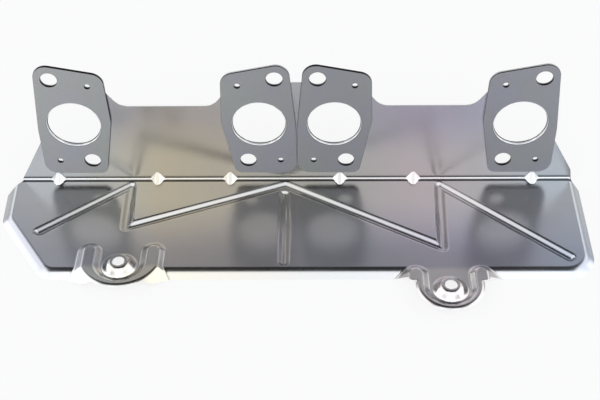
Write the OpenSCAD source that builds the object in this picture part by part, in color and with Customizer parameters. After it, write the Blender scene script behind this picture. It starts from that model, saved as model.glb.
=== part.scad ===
// Exhaust manifold gasket: four port plates on one folded steel sheet.
// The upright half carries the plates, the flat half is a heat shield.
// Millimetres. X runs along the fold and +Z is up. The origin lies in the
// middle of the port row, on the rear face of the upright half, and the
// shield reaches out towards -Y.

/* [Sheet] */
// Thickness of the folded sheet
sheet_t = 0.5; // [0.4:0.05:0.8]
// Inside radius of the fold
fold_r = 1.2; // [0.8:0.1:2]
// Port centres above the shield's top face
port_z = 45; // [43:0.5:48]

/* [Ports] */
// Distance between the two outer port centres
outer_pitch = 264; // [260:1:270]
// Distance between the two inner port centres
inner_pitch = 44.4; // [44.4:0.1:48]
// Radius of the round opening in each plate
port_r = 16.3; // [14:0.1:17.5]
// Wall of the bright ring in each port
ring_t = 0.4; // [0.3:0.05:0.8]
// How far the sheet's edge stands inside the ring
port_step = 0.3; // [0.2:0.05:0.6]

/* [Port plates] */
// Thickness of a port plate
plate_t = 1.8; // [1.2:0.1:2.5]
// Radius of the stud holes
stud_r = 4.9; // [4.3:0.1:5.5]
// Upper stud hole from the port centre, towards the plate's outer side
stud_high = [-9.8, 33.1]; // [-40:0.1:40]
// Lower stud hole from the port centre
stud_low = [7.45, -27.9]; // [-40:0.05:40]
// Radius of the small holes
pin_r = 1.7; // [1.2:0.1:2.2]
// Upper small hole from the port centre
pin_high = [11.7, 28.4]; // [-40:0.1:40]
// Lower small hole from the port centre
pin_low = [-12.2, -28.1]; // [-40:0.1:40]
// Top of a plate above its port centre
plate_top = 44.2; // [42:0.2:46]
// Lower top corner of a plate above its port centre
plate_shoulder = 36; // [34:0.2:38]
// Foot of a plate below its port centre
plate_foot = 38.2; // [37:0.2:39]
// Widest reach of a plate on the side of its lower top corner
plate_side = 22.3; // [21:0.1:23]
// Gap between the sharp corners of the two inner plates
plate_gap = 0.2; // [0.1:0.1:1]
// Rounding of the plate's top corners
plate_corner_r = 8; // [6:0.5:9]

/* [Upright] */
// Height of the upright's edge between outer and inner plates
bay_z = 57.4; // [54:0.2:60]
// Height of the upright's edge between the two inner plates
saddle_z = 74.5; // [72:0.5:77]
// How far the upright's tabs stay inside the plates
tab_inset = 1.6; // [1.2:0.1:2.2]
// Radius of the hollow corners beside the plates
bay_r = 10; // [7:0.5:11]

/* [Shield] */
// Depth of the shield from the upright to the bend of the lip
shield_y = 76.6; // [74:0.2:80]
// Left side of the shield
left_x = 174.2; // [172:0.2:178]
// Right side of the shield
right_x = 167.4; // [165:0.2:170]
// Drop of the lip below the top face
lip_drop = 3.6; // [3:0.1:4.5]
// Slope of the lip and of the lobe walls, degrees from level
lip_angle = 37; // [32:1:42]

/* [Bead] */
// Half width of the pressed-in stiffening bead where it leaves the panel
bead_w = 3.4; // [2.8:0.1:4]
// Depth of the bead
bead_h = 2.2; // [1.2:0.1:2.6]

/* [Gussets] */
// Half width of a gusset along the fold
gusset_w = 5.1; // [4:0.1:6]
// Reach of a gusset up the upright and out on the shield
gusset_leg = 6; // [5:0.1:7]
// Half width of a gusset's flat ridge
gusset_ridge = 0.8; // [0.5:0.1:1.2]

/* [Lobes] */
// Left screw point, from the middle of the port row and the upright's front
left_screw = [-101.2, -74.7]; // [-150:0.1:150]
// Right screw point
right_screw = [86.3, -93]; // [-150:0.1:150]
// Radius of the left band's front
left_front_r = 23.8; // [23:0.1:25]
// Radius of the right band's front
right_front_r = 18; // [17:0.1:19]
// Height of the raised band round each screw point
band_h = 2.8; // [2.2:0.1:3.4]
// Half width of the tongue that carries a screw point
tongue_w = 11.4; // [11:0.1:12]
// Half width of the band at its crest
crest_w = 21.7; // [21:0.1:22.5]
// Foot radius of the screw boss
boss_foot_r = 9; // [8:0.1:9.2]
// Radius of the boss's flat top
boss_top_r = 5.9; // [5:0.1:6.5]
// Height of the boss
boss_h = 5; // [4:0.2:6]
// Radius of the screw hole
screw_r = 3.4; // [2.7:0.1:4]

/* [Hidden] */
$fn = 96;
eps = 0.01;

// port number: side of the plate's outline (1 as drawn, -1 mirrored), centre
port_x = [-outer_pitch / 2, -inner_pitch / 2, inner_pitch / 2, outer_pitch / 2];
port_side = [1, -1, 1, -1];

// the inner plates meet at their straight sides, and the outer ones are the same blank
plate_in = (inner_pitch - plate_gap) / 2;
// how far the top corners stand in from the widest place
lean = 4.2;
shoulder_in = 1.1;
// plate outline about the port centre: x, z, corner radius
plate_pts = [
  [lean - plate_in, plate_top, plate_corner_r], [0.2 - plate_in, -4, 15],
  [-plate_in, -plate_foot, plate_corner_r], [plate_side - 7, -plate_foot, 5],
  [plate_side, 2, 15], [plate_side - shoulder_in, plate_shoulder, plate_corner_r]
];

fold_left = -170.1;
fold_right = 168.2;

// lip and lobe walls
lip_run = lip_drop / tan(lip_angle);
half_slope = tan(lip_angle / 2);
wall_run = band_h / tan(lip_angle);
below = 2;
// length of what cuts through plate and sheet, and of what cuts through everything
through = 8;
far = 200;

// shield outline where the lip bends down: x, y, corner radius
shield_pts = [[-left_x, -fold_r, 0], [-172.4, -34, 9.4], [-143.6, -shield_y, 9],
              [right_x - 0.6, -shield_y, 13], [right_x + 0.4, -fold_r, 0]];

zigzag = [[-152.5, -45.6], [-102.4, -5.9], [-101.4, -42.1], [-7.4, -5.6],
          [84.8, -59.2], [87.1, -6], [156.9, -67.3]];
stem = [[-7.5, -13], [-7.3, -70.4]];
bead_r = (bead_w * bead_w + bead_h * bead_h) / (2 * bead_h);
// rounding of the bead's corners beyond its runs, and how much fuller every
// second run is
joint_r = 0.12;
crossing = 0.04;
// how much fuller a curved stretch is than the straight one that it runs into
fuller = 0.03;

gusset_x = [-147.9, -86.5, -41.5, 26, 71.2, 144];

// screw points: x, y, centre and radius of the band's front, and the trim
// line of the sheet beside the band as x, y pairs from the point
pocket_y = 2;
arch_x = tongue_w + (crest_w + wall_run - tongue_w) / 2;
arch_r = arch_x - tongue_w;
arch_y = 18.9 - 7;
front_trim = 1.3;
// how much the tips beside a lobe are cut back
tip_cut = 0.3;
lobes = [
  [left_screw[0], left_screw[1], 7.8, left_front_r, [[20, -12.8], [20, -12.9]]],
  [right_screw[0], right_screw[1], 3, right_front_r, [[22.8, 8.6], [22.8, 5.5]]]
];

function unit(v) = v / norm(v);
function turn(a, b, c) = (b[0] - a[0]) * (c[1] - b[1]) - (b[1] - a[1]) * (c[0] - b[0]);
function xy(p) = [p[0], p[1]];
function half_corner(a, b, c) = acos(unit(xy(a) - xy(b)) * unit(xy(c) - xy(b))) / 2;
function corner_centre(a, b, c) =
  xy(b) + unit(unit(xy(a) - xy(b)) + unit(xy(c) - xy(b))) * b[2] / sin(half_corner(a, b, c));
function corner_cut(a, b, c) = b[2] / tan(half_corner(a, b, c));
function tangents(a, b, c) =
  b[2] == 0 ? [xy(b)] :
  [xy(b) + unit(xy(a) - xy(b)) * corner_cut(a, b, c),
   xy(b) + unit(xy(c) - xy(b)) * corner_cut(a, b, c)];

// closed outline with rounded corners, points against the clock
module rounded(pts) {
  n = len(pts);
  path = [for (i = [0 : n - 1], p = tangents(pts[(i + n - 1) % n], pts[i], pts[(i + 1) % n])) p];
  difference() {
    union() {
      polygon(path);
      for (i = [0 : n - 1]) {
        a = pts[(i + n - 1) % n];
        b = pts[i];
        c = pts[(i + 1) % n];
        if (b[2] > 0 && turn(a, b, c) > 0)
          translate(corner_centre(a, b, c)) circle(r = b[2]);
      }
    }
    for (i = [0 : n - 1]) {
      a = pts[(i + n - 1) % n];
      b = pts[i];
      c = pts[(i + 1) % n];
      if (b[2] > 0 && turn(a, b, c) < 0)
        translate(corner_centre(a, b, c)) circle(r = b[2]);
    }
  }
}

// from the drawing frame (top face of the shield, front of the upright)
module placed() {
  translate([0, -sheet_t, -port_z]) children();
}

// a drawing in X and Z, as thick as t, from y0 towards +Y
module upright_plate(y0, t) {
  translate([0, y0 + t, 0]) rotate([90, 0, 0]) linear_extrude(t) children();
}

// holes through plate and upright at each port
module stud_holes(i) {
  for (p = [stud_high, stud_low])
    translate([port_x[i] + port_side[i] * p[0], 0, port_z + p[1]])
      rotate([90, 0, 0]) cylinder(r = stud_r, h = through, center = true);
  for (p = [pin_high, pin_low])
    translate([port_x[i] + port_side[i] * p[0], 0, port_z + p[1]])
      rotate([90, 0, 0]) cylinder(r = pin_r, h = through, center = true);
}

module port_plate(i) {
  color([0.56, 0.58, 0.6])
  placed()
  difference() {
    translate([port_x[i], 0, port_z])
      mirror([port_side[i] < 0 ? 1 : 0, 0, 0])
        upright_plate(-plate_t, plate_t) rounded(plate_pts);
    translate([port_x[i], 0, port_z])
      rotate([90, 0, 0]) cylinder(r = port_r, h = through, center = true);
    stud_holes(i);
  }
}

module port_ring(i) {
  color([0.85, 0.86, 0.87])
  placed()
  translate([port_x[i], 0, port_z])
  rotate([90, 0, 0])
  difference() {
    cylinder(r = port_r, h = plate_t);
    translate([0, 0, -1]) cylinder(r = port_r - ring_t, h = plate_t + 2);
  }
}

// upright half

// outline of the left side, from the fold up and to the middle: x, z, radius
tab_z = port_z + plate_top - tab_inset - 0.2;
tab_shoulder = port_z + plate_shoulder - tab_inset;
tab_in = plate_in - tab_inset;
tab_side = plate_side - tab_inset;
function tab_outer(side) = [
  [side * (outer_pitch / 2 + tab_in), 33.8, 0],
  [side * (outer_pitch / 2 + tab_in - 0.2), port_z - 4, 6],
  [side * (outer_pitch / 2 + tab_in - lean), tab_z, 6],
  [side * (outer_pitch / 2 - tab_side + shoulder_in), tab_shoulder, 6],
  [side * (outer_pitch / 2 - tab_side + 0.3), 69, 3],
  [side * (outer_pitch / 2 - tab_side - 7.9), bay_z, bay_r]
];
function tab_inner(side) = [
  [side * (inner_pitch / 2 + tab_side + 6.5), bay_z, bay_r],
  [side * (inner_pitch / 2 + tab_side - 0.3), 66, 3],
  [side * (inner_pitch / 2 + tab_side - shoulder_in), tab_shoulder, 6],
  [side * (inner_pitch / 2 - tab_in + lean), tab_z, 6],
  [side * (inner_pitch / 2 - tab_in + lean - 1.2), saddle_z, 1]
];
upright_pts = concat(
  [[fold_left, fold_r, 0], [fold_right, fold_r, 0], [fold_right - 1, 7, 4]],
  tab_outer(1), tab_inner(1),
  [for (i = [4 : -1 : 0]) tab_inner(-1)[i]],
  [for (i = [5 : -1 : 0]) tab_outer(-1)[i]]
);

module upright() {
  difference() {
    upright_plate(0, sheet_t) rounded(upright_pts);
    for (i = [0 : 3]) {
      translate([port_x[i], 0, port_z])
        rotate([90, 0, 0])
          cylinder(r = port_r - ring_t - port_step, h = through, center = true);
      stud_holes(i);
    }
  }
}

module fold() {
  translate([fold_left, -fold_r, fold_r])
    rotate([90, 0, 90])
      linear_extrude(fold_right - fold_left)
        intersection() {
          difference() {
            circle(r = fold_r + sheet_t);
            circle(r = fold_r);
          }
          translate([0, -fold_r - 2]) square([fold_r + 2, fold_r + 2]);
        }
}

// Shield half. Each shape is drawn twice, as the solid under the sheet's
// top face (d = 0) and as the solid under its bottom face (d = sheet_t).

function floor_z(d) = -lip_drop - (d > 0 ? below : 0);
function spread(d) = (-d - floor_z(d)) / tan(lip_angle);
function inset(d) = d * half_slope;

module lip_side(p, q, d) {
  length = norm(q - p);
  dir = unit(q - p);
  translate([p[0], p[1], 0])
    rotate([0, 0, atan2(dir[1], dir[0])])
      rotate([90, 0, 90])
        linear_extrude(length)
          polygon([[0.5, floor_z(d)], [-spread(d), floor_z(d)], [0, -d], [0.5, -d]]);
}

module tray(d) {
  n = len(shield_pts);
  e = inset(d);
  ends = [for (i = [0 : n - 1])
    let (a = shield_pts[(i + n - 1) % n], b = shield_pts[i], c = shield_pts[(i + 1) % n])
    b[2] == 0 ? [xy(b), xy(b)] : tangents(a, b, c)];
  side = [for (i = [0 : n - 1])
    let (v = unit(ends[(i + 1) % n][0] - ends[i][1])) [-v[1], v[0]]];
  first = [for (i = [0 : n - 2]) ends[i][1] + e * side[i]];
  last = [for (i = [0 : n - 2]) ends[i + 1][0] + e * side[i]];
  translate([0, 0, floor_z(d)])
    linear_extrude(-d - floor_z(d))
      polygon([for (i = [0 : n - 2], p = [first[i], last[i]]) p]);
  for (i = [0 : n - 2])
    lip_side(first[i], last[i], d);
  for (i = [1 : n - 2]) {
    a = shield_pts[i - 1];
    b = shield_pts[i];
    c = shield_pts[i + 1];
    from = -side[i - 1];
    to = -side[i];
    sweep = acos(from * to);
    translate(corner_centre(a, b, c))
      rotate([0, 0, atan2(from[1], from[0])])
        rotate_extrude(angle = sweep)
          polygon([[0, floor_z(d)], [b[2] - e + spread(d) + fuller, floor_z(d)],
                   [b[2] - e + fuller, -d], [0, -d]]);
  }
}

// round trough along a path, as the space over the sheet (d = 0) and with the
// sheet round it (d = sheet_t)
module bead(path, d) {
  r = bead_r + d;
  z = bead_r - bead_h;
  for (i = [0 : len(path) - 2]) {
    v = path[i + 1] - path[i];
    translate([path[i][0], path[i][1], z])
      rotate([0, 90, atan2(v[1], v[0])])
        cylinder(r = r + crossing * (i % 2), h = norm(v));
  }
  for (p = path)
    translate([p[0], p[1], z]) sphere(r = r + joint_r);
}

module boss(lobe, d) {
  k = tan(atan(boss_h / (boss_foot_r - boss_top_r)) / 2);
  translate([lobe[0], lobe[1], -d - eps])
    cylinder(r1 = boss_foot_r - d * k, r2 = boss_top_r - d * k, h = boss_h + eps);
}

// half outline of the ground round a tongue of half width w, from the middle outwards
function valley(d, w) = [
  [0, floor_z(d)], [2 * crest_w, floor_z(d)], [2 * crest_w, band_h - d],
  [w + wall_run + inset(d), band_h - d], [w + inset(d), -d], [0, -d]
];

module lobe_body(lobe, d) {
  e = inset(d);
  wide = crest_w - e + (band_h - d - floor_z(d)) / tan(lip_angle);
  front = lobe[3] - e + (band_h - d - floor_z(d)) / tan(lip_angle);
  step_y = max(0, lobe[4][1][1]);
  translate([lobe[0], lobe[1], 0]) {
    intersection() {
      union() {
        for (s = [0, 1])
          mirror([s, 0, 0])
            translate([0, arch_y, 0])
              rotate([90, 0, 0])
                linear_extrude(arch_y - pocket_y) polygon(valley(d, tongue_w));
        translate([0, pocket_y, 0])
          rotate([0, 0, 180])
            rotate_extrude(angle = 180) polygon(valley(d, tongue_w - fuller));
      }
      union() {
        intersection() {
          translate([0, arch_y + 1, 0]) rotate([90, 0, 0])
            linear_extrude(far)
              polygon([[-wide, floor_z(d)], [wide, floor_z(d)],
                       [crest_w - e, band_h - d], [-crest_w + e, band_h - d]]);
          translate([0, lobe[2], floor_z(d)])
            cylinder(r1 = front, r2 = lobe[3] - e, h = band_h - d - floor_z(d));
        }
        translate([0, arch_y + 1, 0]) rotate([90, 0, 0])
          linear_extrude(arch_y + 1 - step_y)
            polygon([[-wide, floor_z(d)], [wide, floor_z(d)],
                     [crest_w - e, band_h - d], [-crest_w + e, band_h - d]]);
      }
    }
    for (s = [-1, 1])
      translate([s * arch_x, arch_y, 0])
        rotate_extrude(angle = 180)
          polygon([[0, floor_z(d)], [arch_r - e + spread(d) + fuller, floor_z(d)],
                   [arch_r - wall_run - e + fuller, band_h - d], [0, band_h - d]]);
    translate([-arch_x, arch_y, floor_z(d)])
      cube([2 * arch_x, 8, -d - floor_z(d)]);
  }
}

// what the blank's trim line leaves of a lobe
module lobe_trim(lobe) {
  edge = -shield_y - lobe[1] - lip_run;
  tip = crest_w + wall_run + lip_run - tip_cut;
  p = lobe[4];
  translate([lobe[0], lobe[1], -far / 2]) {
    translate([-far / 2, edge, 0]) cube(far);
    linear_extrude(far)
      polygon([[-tip, edge + tip_cut], [-p[0][0], p[0][1]], [-p[1][0], p[1][1]],
               [p[1][0], p[1][1]], [p[0][0], p[0][1]], [tip, edge + tip_cut]]);
    translate([0, lobe[2], 0]) cylinder(r = lobe[3] + front_trim, h = far);
  }
}

module shield() {
  difference() {
    union() {
      difference() {
        union() {
          tray(0);
          for (l = lobes) {
            intersection() {
              lobe_body(l, 0);
              lobe_trim(l);
            }
            boss(l, 0);
          }
        }
        tray(sheet_t);
        for (l = lobes) {
          lobe_body(l, sheet_t);
          boss(l, sheet_t);
        }
      }
      intersection() {
        union() {
          bead(zigzag, sheet_t);
          bead(stem, sheet_t);
        }
        translate([-far, -far, -lip_drop]) cube([2 * far, far, lip_drop - sheet_t / 2]);
      }
    }
    bead(zigzag, 0);
    bead(stem, 0);
    for (l = lobes)
      translate([l[0], l[1], 0]) cylinder(r = screw_r, h = far);
    // the lip runs out to nothing at both ends of the fold
    translate([0, 0, -far / 2]) linear_extrude(far) {
      polygon([[fold_left, -fold_r], [fold_left - 12, -fold_r - 13.8], [fold_left - 12, 5],
               [fold_left, 5]]);
      polygon([[fold_right, -fold_r], [fold_right, 5], [fold_right + 10, 5],
               [fold_right + 10, -fold_r - 15.6]]);
    }
  }
}

// a gusset pushed into the fold from behind: a flat ridge between two facets
module gusset(d) {
  w = gusset_w;
  l = gusset_leg;
  r = gusset_ridge;
  tilt = (w - r) / l;
  side_d = d * sqrt(1 + 2 * tilt * tilt);
  back = d > 0 ? d + 1 : sheet_t / 2;
  function half_at(y, z) = w - side_d + tilt * (y - z);
  top = l - d * sqrt(2);
  // corners of the half section, in y and z
  c = [[back, -back], [back, top + back], [-top - back, -back]];
  pts = [for (s = [1, -1], q = c) [s * half_at(q[0], q[1]), q[0], q[1]]];
  polyhedron(points = pts, faces = [[0, 2, 1], [3, 4, 5], [0, 3, 5, 2], [0, 1, 4, 3], [1, 2, 5, 4]]);
}

module folded_sheet() {
  color([0.72, 0.71, 0.69])
  placed()
  difference() {
    union() {
      shield();
      fold();
      upright();
      for (x = gusset_x)
        translate([x, 0, 0]) gusset(0);
    }
    for (x = gusset_x)
      translate([x, 0, 0]) gusset(sheet_t);
  }
}

folded_sheet();
port_plate(0);  // plate_1
port_plate(1);  // plate_2
port_plate(2);  // plate_3
port_plate(3);  // plate_4
port_ring(0);  // ring_1
port_ring(1);  // ring_2
port_ring(2);  // ring_3
port_ring(3);  // ring_4
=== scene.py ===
# Looks of an exhaust manifold gasket: a folded bright steel sheet with four grey port plates.
# Forms are drawn in millimetres, with z = 0 on the shield's top face and y = 0 on the front of the
# upright half, and toFrame() brings them into the part's own frame in metres.
import math

import bpy
import numpy as np
from mathutils import Matrix, Vector, geometry, kdtree


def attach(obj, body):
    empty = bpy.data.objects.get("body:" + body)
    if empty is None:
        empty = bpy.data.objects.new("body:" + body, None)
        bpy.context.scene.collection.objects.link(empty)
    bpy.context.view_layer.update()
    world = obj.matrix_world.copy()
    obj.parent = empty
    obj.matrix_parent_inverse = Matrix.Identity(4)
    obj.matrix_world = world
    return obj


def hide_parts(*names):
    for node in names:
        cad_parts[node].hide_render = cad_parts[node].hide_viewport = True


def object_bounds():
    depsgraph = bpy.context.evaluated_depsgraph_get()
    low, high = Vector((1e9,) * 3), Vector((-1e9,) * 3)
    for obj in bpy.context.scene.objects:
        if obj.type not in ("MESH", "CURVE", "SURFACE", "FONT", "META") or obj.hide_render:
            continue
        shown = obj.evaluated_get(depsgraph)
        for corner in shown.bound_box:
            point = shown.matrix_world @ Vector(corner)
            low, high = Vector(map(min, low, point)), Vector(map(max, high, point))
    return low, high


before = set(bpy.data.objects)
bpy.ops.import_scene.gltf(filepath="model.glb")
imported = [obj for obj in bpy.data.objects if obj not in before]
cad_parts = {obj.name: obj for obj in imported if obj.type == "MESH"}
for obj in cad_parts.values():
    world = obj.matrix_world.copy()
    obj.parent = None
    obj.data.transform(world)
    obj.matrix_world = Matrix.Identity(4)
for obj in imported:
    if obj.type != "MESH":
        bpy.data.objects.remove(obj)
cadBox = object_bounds()
print("frame loaded with", len(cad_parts), "solids")

mm = 0.001
sheetForm = {
    "thickness": 0.5,
    "portHeight": 45.0,      # port centres above the shield
    "foldRadius": 1.2,       # of the sheet's front face
    "foldLeft": -170.1,
    "foldRight": 168.2,
    "bayHeight": 57.4,       # upright's edge between outer and inner plates
    "saddleHeight": 74.5,    # and between the two inner plates
    "bayRadius": 10.0,
    "portRadius": 15.6,
    "depth": 76.6,           # from the upright's front to the bend of the lip
    "left": 174.2,           # from the middle to the bend of the lip, at the fold
    "right": 167.4,
    "lipDrop": 3.6,
    "slope": math.tan(math.radians(37)),
    "bendHalf": 2.2,         # half width of the soft bend at the lip
    "leftRunOut": (12, 13.8),     # direction of the cut from the fold's end to the side lip
    "rightRunOut": (10, 15.6),
    "rightStep": (1, 7, 4),       # upright's right edge over the fold: inwards, up, radius
    "holeSteps": 48,
}
tabForm = {
    "inset": 1.6,            # inside the plate's outline
    "topInset": 0.2,         # and a little more at the top
    "top": 16.3,             # x of the corners from the port's centre
    "shoulder": 19.6,
    "waist": 20.4,
    "cornerRadius": 6,
    "waistRadius": 3,
    "outerFoot": (20.5, 33.8),    # x from the outer port and height
    "outerSide": (20.3, 41.0),
    "outerWaist": 69.0,
    "innerWaist": 66.0,
    "outerBay": 28.6,        # x from the outer port and from the inner one
    "innerBay": 27.2,
    "saddle": 17.5,
    "saddleRadius": 1,
}
portForm = {
    "outerPitch": 264.0,
    "innerPitch": 44.4,
    "studRadius": 4.9,
    "studHigh": (-9.8, 33.1),
    "studLow": (7.45, -27.9),
    "pinRadius": 1.7,
    "pinHigh": (11.7, 28.4),
    "pinLow": (-12.2, -28.1),
}
portX = [-portForm["outerPitch"] / 2, -portForm["innerPitch"] / 2,
         portForm["innerPitch"] / 2, portForm["outerPitch"] / 2]
portSide = [1, -1, 1, -1]    # 1 as drawn, -1 turned over


def toFrame(points):
    shift = [0, -sheetForm["thickness"], -sheetForm["portHeight"]]
    return (np.asarray(points, float) + shift) * mm


# Outlines

def unit(v):
    return v / np.linalg.norm(v)


def lineCross(a, b, c, d):
    # where the line a-b meets the line c-d
    a, b, c, d = (np.asarray(p, float) for p in (a, b, c, d))
    u, w = b - a, d - c
    t = ((c - a)[0] * w[1] - (c - a)[1] * w[0]) / (u[0] * w[1] - u[1] * w[0])
    return a + t * u


def grownCorners(points, grow):
    # sharp corners of an outline (x, y, radius, against the clock) moved outwards by grow
    p = np.array([q[:2] for q in points], float)
    out = []
    for i in range(len(p)):
        u = unit(p[i] - p[i - 1])
        w = unit(p[(i + 1) % len(p)] - p[i])
        nu, nw = np.array([u[1], -u[0]]), np.array([w[1], -w[0]])
        out.append(p[i] + grow * (nu + nw) / (1 + nu @ nw))
    return out


def roundedLine(points, grow=0.0, arcStep=1.0, lineStep=2.5, closed=True):
    # points along an outline with its corners rounded, moved outwards by grow
    corners = grownCorners(points, grow)
    n = len(points)
    line = []
    for i in range(n):
        b, radius = corners[i], points[i][2]
        if radius == 0 or (not closed and i in (0, n - 1)):
            stretch = [b]
        else:
            u, w = unit(b - corners[i - 1]), unit(corners[(i + 1) % n] - b)
            turn = math.atan2(u[0] * w[1] - u[1] * w[0], u @ w)
            r = radius + (grow if turn > 0 else -grow)
            cut = r * math.tan(abs(turn) / 2)
            start = b - u * cut
            side = np.array([-u[1], u[0]]) * math.copysign(1, turn)
            centre = start + side * r
            count = max(2, math.ceil(abs(turn) * radius / arcStep))
            stretch = []
            for k in range(count + 1):
                a = turn * k / count
                q = -side * r
                stretch.append(centre + [q[0] * math.cos(a) - q[1] * math.sin(a),
                                         q[0] * math.sin(a) + q[1] * math.cos(a)])
        if line:
            line += between(line[-1], stretch[0], lineStep)
        line += stretch
    if closed:
        line += between(line[-1], line[0], lineStep)
    return np.array(line)


def between(a, b, step):
    count = max(1, math.ceil(np.linalg.norm(b - a) / step))
    return [a + (b - a) * k / count for k in range(1, count)]


def circleLine(x, y, radius, count):
    a = np.arange(count) * 2 * math.pi / count
    return np.stack([x + radius * np.cos(a), y + radius * np.sin(a)], 1)


def portHoles(index, height, portRadius, steps, grow=0.0):
    # circles of a port, its two stud holes and its two small holes, made smaller by grow
    x, side = portX[index], portSide[index]
    holes = [circleLine(x, height, portRadius - grow, 2 * steps)]
    for name, count in (("stud", steps), ("pin", steps // 2)):
        for which in ("High", "Low"):
            dx, dz = portForm[name + which]
            holes.append(circleLine(x + side * dx, height + dz, portForm[name + "Radius"] - grow, count))
    return holes


def insideLines(points, lines):
    # even-odd test of points against closed lines
    ends = [(line, np.roll(line, -1, 0)) for line in lines]
    a = np.vstack([e[0] for e in ends])
    b = np.vstack([e[1] for e in ends])
    rise = np.where(a[:, 1] == b[:, 1], 1.0, b[:, 1] - a[:, 1])
    lean = (b[:, 0] - a[:, 0]) / rise
    found = np.zeros(len(points), bool)
    for k in range(0, len(points), 4000):
        x, y = points[k:k + 4000, :1], points[k:k + 4000, 1:2]
        spans = (a[:, 1] > y) != (b[:, 1] > y)
        hits = spans & (x < a[:, 0] + (y - a[:, 1]) * lean)
        found[k:k + 4000] = hits.sum(1) % 2 == 1
    return found


# Folded sheet, drawn flat in x and v: v runs down the shield below 0, through the fold and up the
# upright above foldLength

foldLength = sheetForm["foldRadius"] * math.pi / 2
lipRun = sheetForm["lipDrop"] / sheetForm["slope"]
# line where the lip bends down, as x, y and radius
shieldCorners = [
    (-sheetForm["left"], -sheetForm["foldRadius"], 0),
    (-172.4, -34.0, 9.4),
    (-143.6, -sheetForm["depth"], 9.0),
    (sheetForm["right"] - 0.6, -sheetForm["depth"], 13.0),
    (sheetForm["right"] + 0.4, -sheetForm["foldRadius"], 0),
]
beadForm = {
    "halfWidth": 4.2,
    "depth": 2.1,
    "rowStep": 0.42,         # of the mesh across a bead
    "rows": 12,              # on each side of its middle line
    "runStep": 1.8,          # of the mesh along it
    "zigzag": [(-152.5, -45.6), (-102.4, -5.9), (-101.4, -42.1), (-7.4, -5.6),
               (84.8, -59.2), (87.1, -6.0), (156.9, -67.3)],
    "stem": [(-7.5, -13.0), (-7.3, -70.4)],
}
gussetForm = {
    "x": [-147.9, -86.5, -41.5, 26.0, 71.2, 144.0],
    "halfWidth": 5.3,
    "leg": 5.5,
    "ridge": 0.8,
    "soft": 0.4,
}
lobeForm = {
    "bandHeight": 2.8,
    "tongue": 11.4,          # half width of the tongue that carries the screw point
    "crest": 21.7,           # half width of the band at its crest
    "pocketY": 2.0,
    "archY": 11.9,
    "archTop": 8.0,          # reach of the flat ground over archY
    "stepBlend": 0.6,
    "frontTrim": 1.3,
    "tipCut": 0.3,
    "soft": 0.8,
    "bossFoot": 9.6,
    "bossTop": 5.9,
    "bossHeight": 5.0,
    "bossSoft": 1.8,
    "screwRadius": 3.4,
}
wallRun = lobeForm["bandHeight"] / sheetForm["slope"]
lobeForm["archX"] = (lobeForm["tongue"] + lobeForm["crest"] + wallRun) / 2
lobeForm["archRadius"] = lobeForm["archX"] - lobeForm["tongue"]
# screw point, centre and radius of the band's front, where the band's trim turns in, and the
# height from which the front is cut round
lobes = [
    {"at": (-101.2, -74.7), "frontY": 7.8, "front": 23.8, "trim": [(20, -12.8), (20, -12.9)], "stepY": 0.0},
    {"at": (86.3, -93.0), "frontY": 3.0, "front": 18.0, "trim": [(22.8, 8.6), (22.8, 5.5)], "stepY": 5.5},
]


meshForm = {
    "lineStep": 2.0,         # along straight outlines and round their corners
    "arcStep": 1.2,
    "lobeArcStep": 0.8,      # round the front of a lobe
    "guardStep": 0.4,        # spots along the outlines that keep other points off
    "screwSteps": 60,
    "ringStep": 0.45,        # rings round a screw hole
    "patchStep": 0.62,       # fine grid over a lobe, and how far it reaches from the screw point
    "patchSide": 31.5,
    "patchFront": 18.0,
    "patchBack": 20.5,
    # rows along the lip, by distance from its bend
    "lipRows": (-3.2, -2.6, -2.2, -1.8, -1.4, -1.0, -0.5, 0, 0.5, 1.0, 1.5, 2.1, 3.0, 3.9),
    "foldStep": 2.4,         # between columns over the fold
    "gridStep": 5.0,
    "gridArea": (-185, 180, -112, 95),    # spans of x and v
    # smallest distance of a new point from those that are there
    "gaps": {"ring": 0.25, "gusset": 0.12, "bead": 0.2, "patch": 0.4, "lip": 0.3, "fold": 0.2, "grid": 2.2},
}


def softMax(a, b, k):
    # the greater of two heights, with a blend of width k where they cross
    h = np.clip(k - np.abs(a - b), 0, None)
    return np.maximum(a, b) + h * h / (4 * k)


def softMin(a, b, k):
    return -softMax(-a, -b, k)


def lipDistance(x, y):
    # distance outside the line where the lip bends down, negative on the shield
    p = np.array([c[:2] for c in shieldCorners])
    run = [unit(p[i + 1] - p[i]) for i in range(4)]
    out = [np.array([r[1], -r[0]]) for r in run]
    away = np.full(x.shape, -1e9)
    for q, n in zip(p, out):
        away = np.maximum(away, (x - q[0]) * n[0] + (y - q[1]) * n[1])
    for i in (1, 2, 3):
        n, m, r = out[i - 1], out[i], shieldCorners[i][2]
        centre = p[i] - (n + m) * r / (1 + n @ m)
        qx, qy = x - centre[0], y - centre[1]
        corner = (n[0] * qy - n[1] * qx > 0) & (qx * m[1] - qy * m[0] > 0)
        away = np.where(corner, np.hypot(qx, qy) - r, away)
    return away


def pathDistance(x, y, path):
    # distance to a run of straight lines, and the number of the nearest one
    best, nearest = np.full(x.shape, 1e9), np.zeros(x.shape, int)
    for i in range(len(path) - 1):
        a, b = np.array(path[i]), np.array(path[i + 1])
        u = b - a
        t = np.clip(((x - a[0]) * u[0] + (y - a[1]) * u[1]) / (u @ u), 0, 1)
        d = np.hypot(x - a[0] - t * u[0], y - a[1] - t * u[1])
        nearest = np.where(d < best, i, nearest)
        best = np.minimum(best, d)
    return best, nearest


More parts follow.
